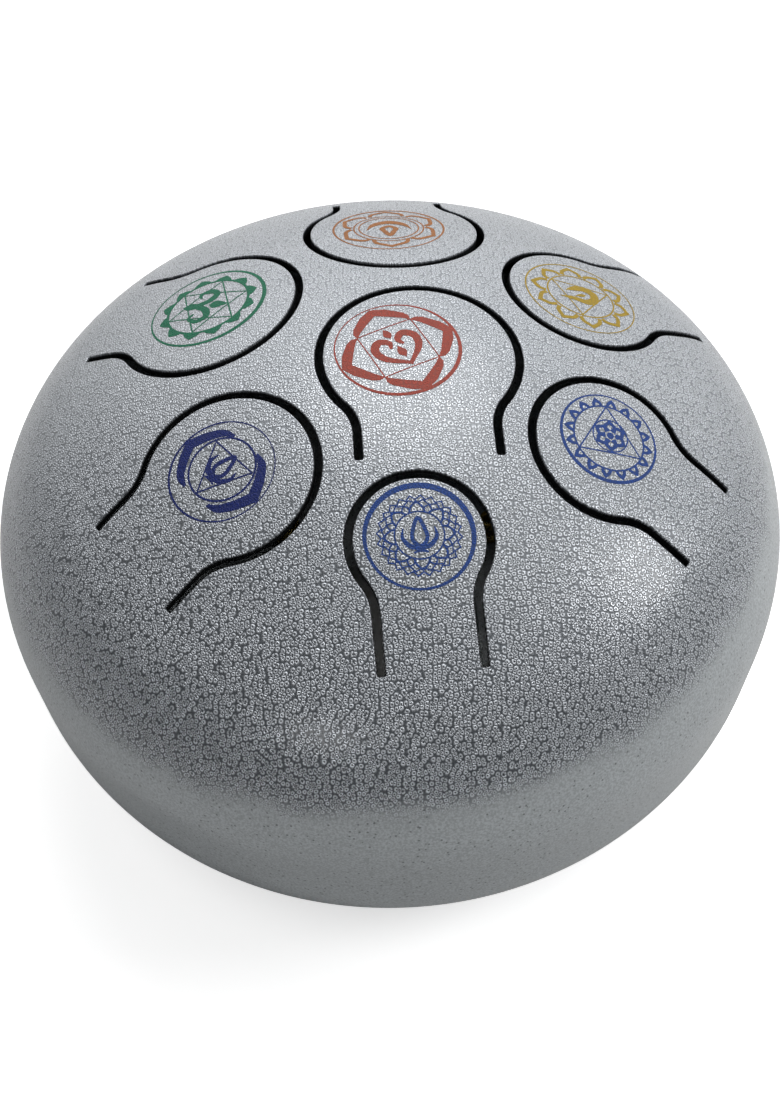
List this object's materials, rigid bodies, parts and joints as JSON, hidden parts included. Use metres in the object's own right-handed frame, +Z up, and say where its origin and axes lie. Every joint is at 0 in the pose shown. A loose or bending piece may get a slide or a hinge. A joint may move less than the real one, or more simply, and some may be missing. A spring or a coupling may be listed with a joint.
{
  "type": "steel tongue drum",
  "caption": "Small steel tongue drum: a domed shell with keyhole tongues cut in its top, welded to a bowl with a sound hole, on rubber feet.",
  "frame": {"origin": "on the drum's axis, on the surface that the feet stand on", "axes": "+Z up, +X to the right and -Y to the front of the drum"},
  "size_m": [0.155, 0.155, 0.0961],
  "materials": {
    "hammertone_paint": "silver-grey hammertone paint with a fine cell texture",
    "foot_rubber": "moulded black rubber",
    "zinc_steel": "bright zinc plated steel",
    "yellow_zinc_steel": "yellow zinc plated steel",
    "red_print": "red pad print",
    "orange_print": "orange pad print",
    "yellow_print": "yellow pad print",
    "green_print": "green pad print",
    "blue_print": "blue pad print",
    "indigo_print": "indigo pad print"
  },
  "bodies": {
    "shell": {"upper_shell": "hammertone_paint", "weld_bead": "hammertone_paint", "lower_shell": "hammertone_paint", "foot_front_left": "foot_rubber", "foot_front_right": "foot_rubber", "foot_back_right": "foot_rubber", "foot_back_left": "foot_rubber", "foot_washer_front_left": "zinc_steel", "foot_washer_front_right": "zinc_steel", "foot_washer_back_right": "zinc_steel", "foot_washer_back_left": "zinc_steel", "foot_screw_front_left": "zinc_steel", "foot_screw_front_right": "zinc_steel", "foot_screw_back_right": "zinc_steel", "foot_screw_back_left": "zinc_steel", "rivet_nut_front_left": "yellow_zinc_steel", "rivet_nut_front_right": "yellow_zinc_steel", "rivet_nut_back_right": "yellow_zinc_steel", "rivet_nut_back_left": "yellow_zinc_steel"},
    "centre_tongue": {"tongue_centre": "hammertone_paint"},
    "front_tongue": {"tongue_front": "hammertone_paint"},
    "front_right_tongue": {"tongue_front_right": "hammertone_paint"},
    "back_right_tongue": {"tongue_back_right": "hammertone_paint"},
    "back_tongue": {"tongue_back": "hammertone_paint"},
    "back_left_tongue": {"tongue_back_left": "hammertone_paint"},
    "front_left_tongue": {"tongue_front_left": "hammertone_paint"}
  },
  "joints": [
    {"name": "centre_tongue_flex", "type": "hinge", "parent": "shell", "child": "centre_tongue", "pos_m": [0.00711, -0.02303, 0.09273], "axis": [0.9976, 0.0488, -0.0497], "range_deg": [-0.4, 0.4], "stiffness_Nm_per_rad": 172},
    {"name": "front_tongue_flex", "type": "hinge", "parent": "shell", "child": "front_tongue", "pos_m": [0.00618, -0.05701, 0.08104], "axis": [0.9967, 0.0802, -0.0146], "range_deg": [-0.4, 0.4], "stiffness_Nm_per_rad": 118},
    {"name": "front_right_tongue_flex", "type": "hinge", "parent": "shell", "child": "front_right_tongue", "pos_m": [0.05473, -0.02865, 0.07842], "axis": [0.5265, 0.8491, -0.0424], "range_deg": [-0.4, 0.4], "stiffness_Nm_per_rad": 133},
    {"name": "back_right_tongue_flex", "type": "hinge", "parent": "shell", "child": "back_right_tongue", "pos_m": [0.05823, 0.02911, 0.07576], "axis": [-0.4114, 0.9111, -0.0249], "range_deg": [-0.4, 0.4], "stiffness_Nm_per_rad": 140},
    {"name": "back_tongue_flex", "type": "hinge", "parent": "shell", "child": "back_tongue", "pos_m": [0.0014, 0.05981, 0.07956], "axis": [-0.9981, -0.0471, 0.0393], "range_deg": [-0.4, 0.4], "stiffness_Nm_per_rad": 163},
    {"name": "back_left_tongue_flex", "type": "hinge", "parent": "shell", "child": "back_left_tongue", "pos_m": [-0.05287, 0.0254, 0.08018], "axis": [-0.3695, -0.9285, 0.0377], "range_deg": [-0.4, 0.4], "stiffness_Nm_per_rad": 161},
    {"name": "front_left_tongue_flex", "type": "hinge", "parent": "shell", "child": "front_left_tongue", "pos_m": [-0.04322, -0.03585, 0.08156], "axis": [0.6225, -0.7826, -0.0106], "range_deg": [-0.4, 0.4], "stiffness_Nm_per_rad": 154}
  ]
}
